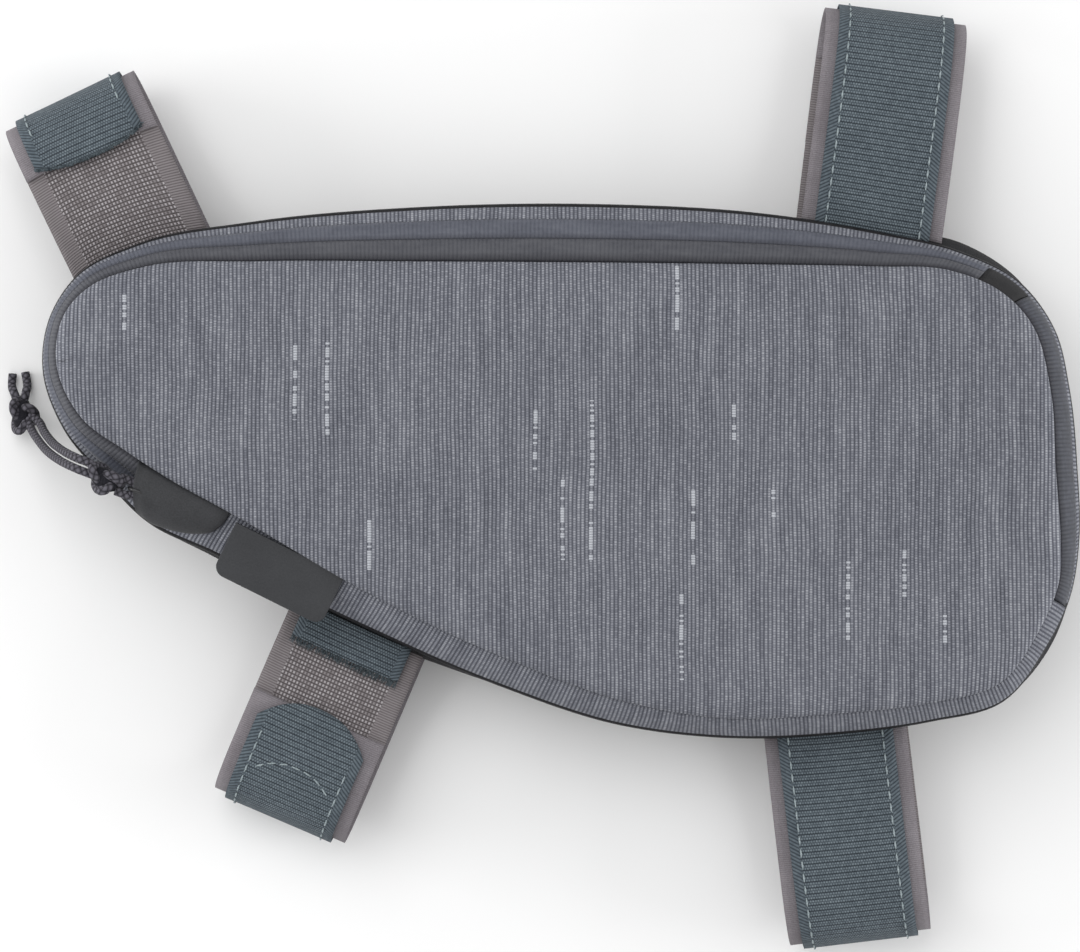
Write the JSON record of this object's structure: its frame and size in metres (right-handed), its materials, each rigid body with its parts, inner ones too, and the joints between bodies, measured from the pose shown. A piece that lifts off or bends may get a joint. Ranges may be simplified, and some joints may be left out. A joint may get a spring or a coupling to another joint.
{
  "type": "bicycle frame bag",
  "caption": "Small tapered bicycle frame bag of ribbed grey cloth, lying on its back with its zip closed, cord pull, plain side tab and closed hook-and-loop strap loops",
  "frame": {"origin": "the middle of the back panel's underside, on the surface that the bag lies on", "axes": "+X runs along the bag to its wide end, +Y to its zip edge, +Z out of the front panel"},
  "size_m": [0.2849, 0.2519, 0.0497],
  "materials": {
    "heather_cloth": "ribbed two-tone grey weave",
    "black_cloth": "matte coated black cloth",
    "black_piping": "black coated piping",
    "coated_zip": "slate zip tape with a satin coating",
    "charcoal_rubber": "smooth matte charcoal",
    "black_metal": "black painted",
    "cord": "braided grey cord",
    "strap_backing": "ribbed warm grey tape",
    "hook_tape": "warm grey hook tape with rows of hooks",
    "strap_webbing": "cross-ribbed blue-grey webbing"
  },
  "bodies": {
    "root": {"back_panel": "heather_cloth", "back_piping": "black_piping", "depth_wall": "black_cloth", "front_piping": "black_piping", "border_upper": "heather_cloth", "border_lower": "heather_cloth", "zip_tape_outer": "coated_zip", "zip_tape_inner": "coated_zip", "zip_end_patch": "charcoal_rubber", "side_band": "coated_zip", "front_panel": "heather_cloth", "zip_garage": "charcoal_rubber", "zip_slider": "black_metal", "zip_pull_link": "black_metal", "label_tab": "charcoal_rubber", "cord_bight": "cord", "cord_knot_inner": "cord", "cord_knot_outer": "cord", "cord_strand_a": "cord", "cord_strand_b": "cord", "cord_tail_a": "cord", "cord_tail_b": "cord", "strap_top_left_backing": "strap_backing", "strap_top_left_webbing": "strap_webbing", "strap_top_left_hook": "hook_tape", "strap_top_right_backing": "strap_backing", "strap_top_right_webbing": "strap_webbing", "strap_top_right_hook": "hook_tape", "strap_bottom_left_backing": "strap_backing", "strap_bottom_left_webbing": "strap_webbing", "strap_bottom_left_hook": "hook_tape", "strap_bottom_right_backing": "strap_backing", "strap_bottom_right_webbing": "strap_webbing", "strap_bottom_right_hook": "hook_tape", "strap_bottom_left_fray_patch": "strap_webbing"}
  },
  "joints": []
}
